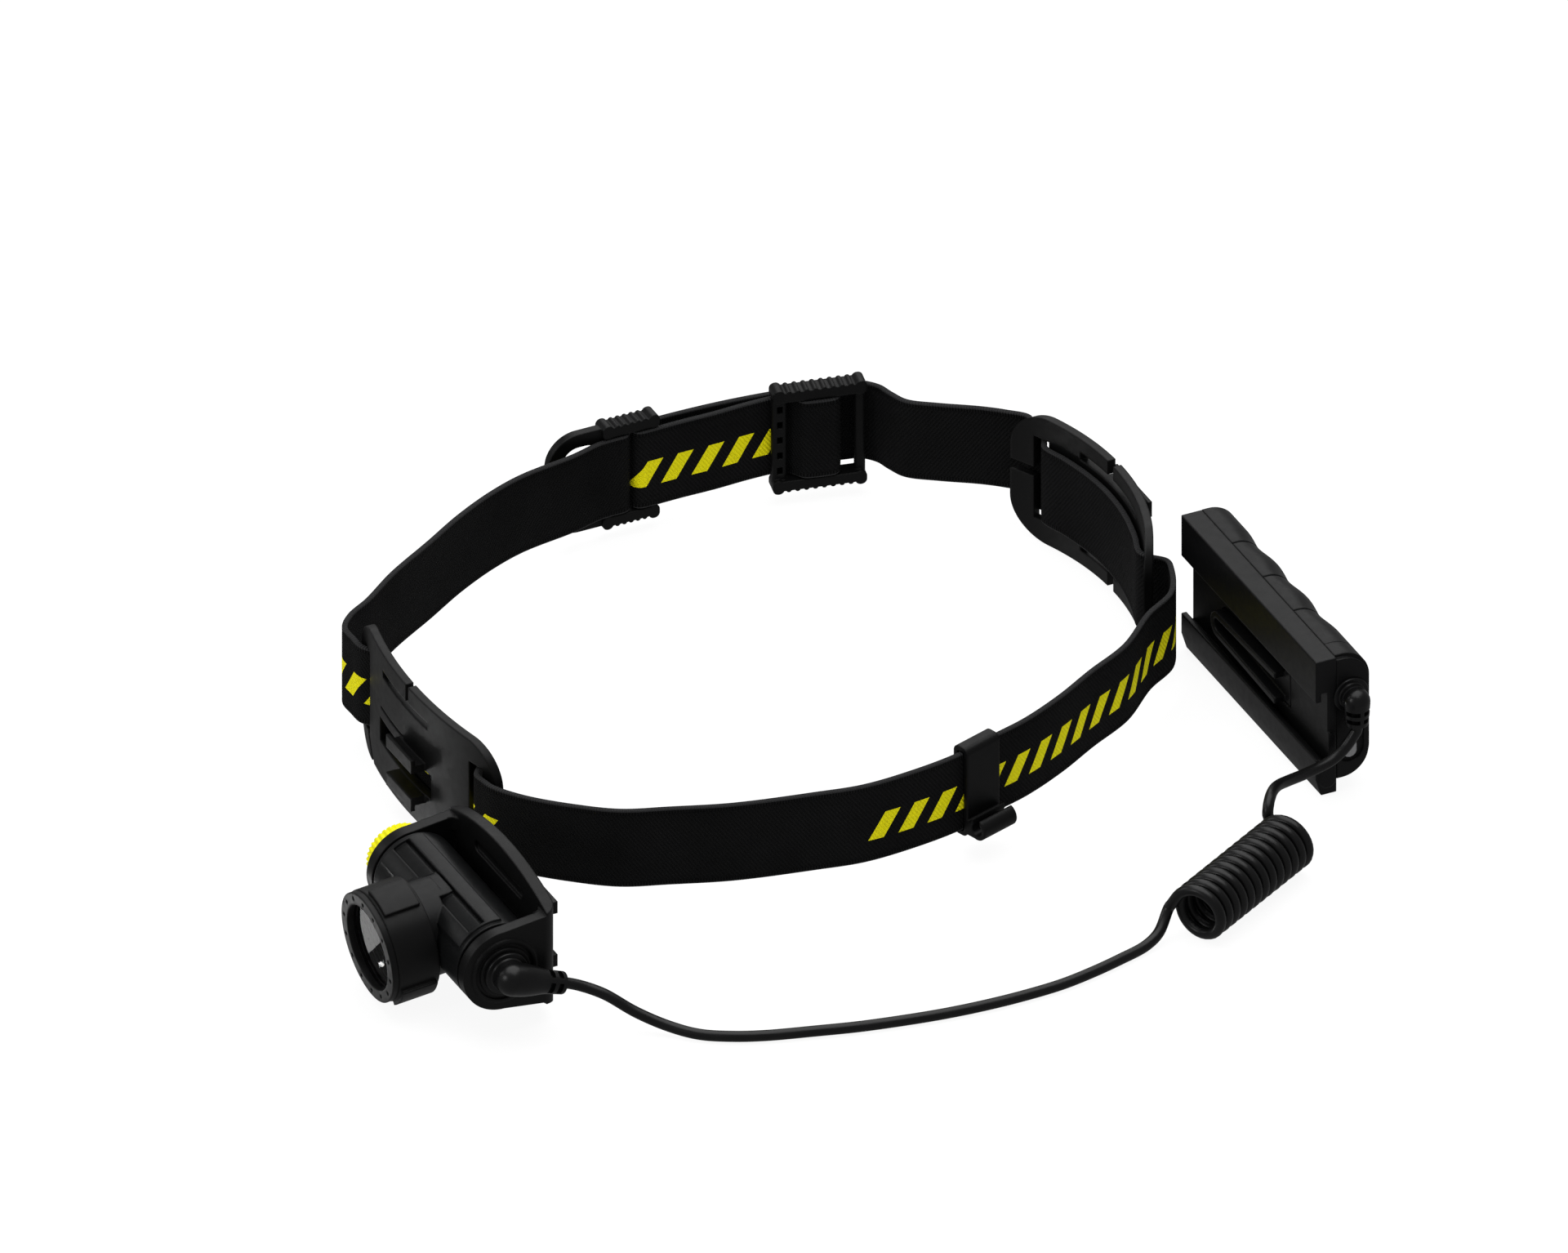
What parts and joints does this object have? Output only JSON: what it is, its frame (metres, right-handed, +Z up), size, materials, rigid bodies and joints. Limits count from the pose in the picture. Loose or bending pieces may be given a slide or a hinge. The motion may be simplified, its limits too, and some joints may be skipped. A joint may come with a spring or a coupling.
{
  "type": "miner's cap lamp",
  "caption": "Cap lamp with a tilting, focusing head and a battery box that slide onto plates on an elastic headband, joined by a curly cord.",
  "frame": {"origin": "centre of the headband's ring, on the surface that it stands on", "axes": "+Z up through the ring, -Y along the lamp's beam, +X towards the cord"},
  "size_m": [0.2731, 0.303, 0.044],
  "materials": {
    "webbing": "knitted elastic webbing with ribbed edges and yellow slanted stripes",
    "black_plastic": "satin moulded",
    "bearing_plastic": "smooth",
    "rubber": "smooth, slightly glossy",
    "steel": "plated",
    "aluminium": "machined",
    "circuit_board": "solder mask",
    "white_board": "white solder mask",
    "phosphor": "phosphor dome",
    "dark_part": "moulded",
    "yellow_plastic": "satin yellow",
    "clear_lens": "clear, polished",
    "battery_wrap": "shrink wrap",
    "grey_window": "translucent grey"
  },
  "bodies": {
    "headband": {"headband_strap": "webbing", "front_plate": "black_plastic", "rear_plate": "black_plastic", "strap_adjuster": "black_plastic", "strap_buckle": "black_plastic", "cable_clip": "black_plastic", "cord_front": "rubber", "cord_coil": "rubber", "cord_rear": "rubber"},
    "bracket": {"bracket": "black_plastic", "pivot_bushes": "bearing_plastic", "lamp_boot": "rubber"},
    "head": {"head_housing": "black_plastic", "rear_cover": "black_plastic", "cover_screws": "steel", "heat_sink": "aluminium", "led_board": "white_board", "led_emitter": "phosphor", "driver_board": "circuit_board", "dimmer_encoder": "dark_part"},
    "wheel": {"wheel_knob": "yellow_plastic", "wheel_shaft": "steel"},
    "focus": {"focus_ring": "black_plastic", "front_ring": "black_plastic", "front_lens": "clear_lens", "lens_gasket": "rubber"},
    "lens": {"lens_carrier": "black_plastic", "collimator_lens": "clear_lens"},
    "box": {"dock_plate": "black_plastic", "case_shell": "black_plastic", "end_cap": "black_plastic", "case_gasket": "rubber", "battery_pack": "battery_wrap", "charge_board": "circuit_board", "indicator_window": "grey_window", "box_boot": "rubber"},
    "tongue": {"latch_tongue": "black_plastic"}
  },
  "joints": [
    {"name": "lamp_dock", "type": "slide", "parent": "headband", "child": "bracket", "axis": [-1, 0, 0], "range_m": [0, 0.087]},
    {"name": "head_tilt", "type": "hinge", "parent": "bracket", "child": "head", "pos_m": [0.095, -0.1407, 0.0207], "axis": [1, 0, 0], "range_deg": [-15, 60]},
    {"name": "wheel_turn", "type": "hinge", "parent": "head", "child": "wheel", "pos_m": [0.095, -0.1407, 0.0207], "axis": [1, 0, 0], "range_deg": [0, 300]},
    {"name": "focus_turn", "type": "hinge", "parent": "head", "child": "focus", "pos_m": [0.095, -0.1407, 0.0207], "axis": [0, -0.9954, -0.0958], "range_deg": [0, 90]},
    {"name": "lens_travel", "type": "slide", "parent": "head", "child": "lens", "axis": [0, -0.9954, -0.0958], "range_m": [0, 0.0036]},
    {"name": "box_dock", "type": "slide", "parent": "headband", "child": "box", "axis": [-1, 0, 0], "range_m": [0, 0.068]},
    {"name": "tongue_flex", "type": "hinge", "parent": "box", "child": "tongue", "pos_m": [0.09, 0.1211, 0.0202], "axis": [0, 0, -1], "range_deg": [0, 2], "stiffness_Nm_per_rad": 0.4, "springref_deg": -0.57}
  ],
  "couplings": [
    {"joint": "lens_travel", "follows": "focus_turn", "m_per_rad": 0.0022918}
  ]
}
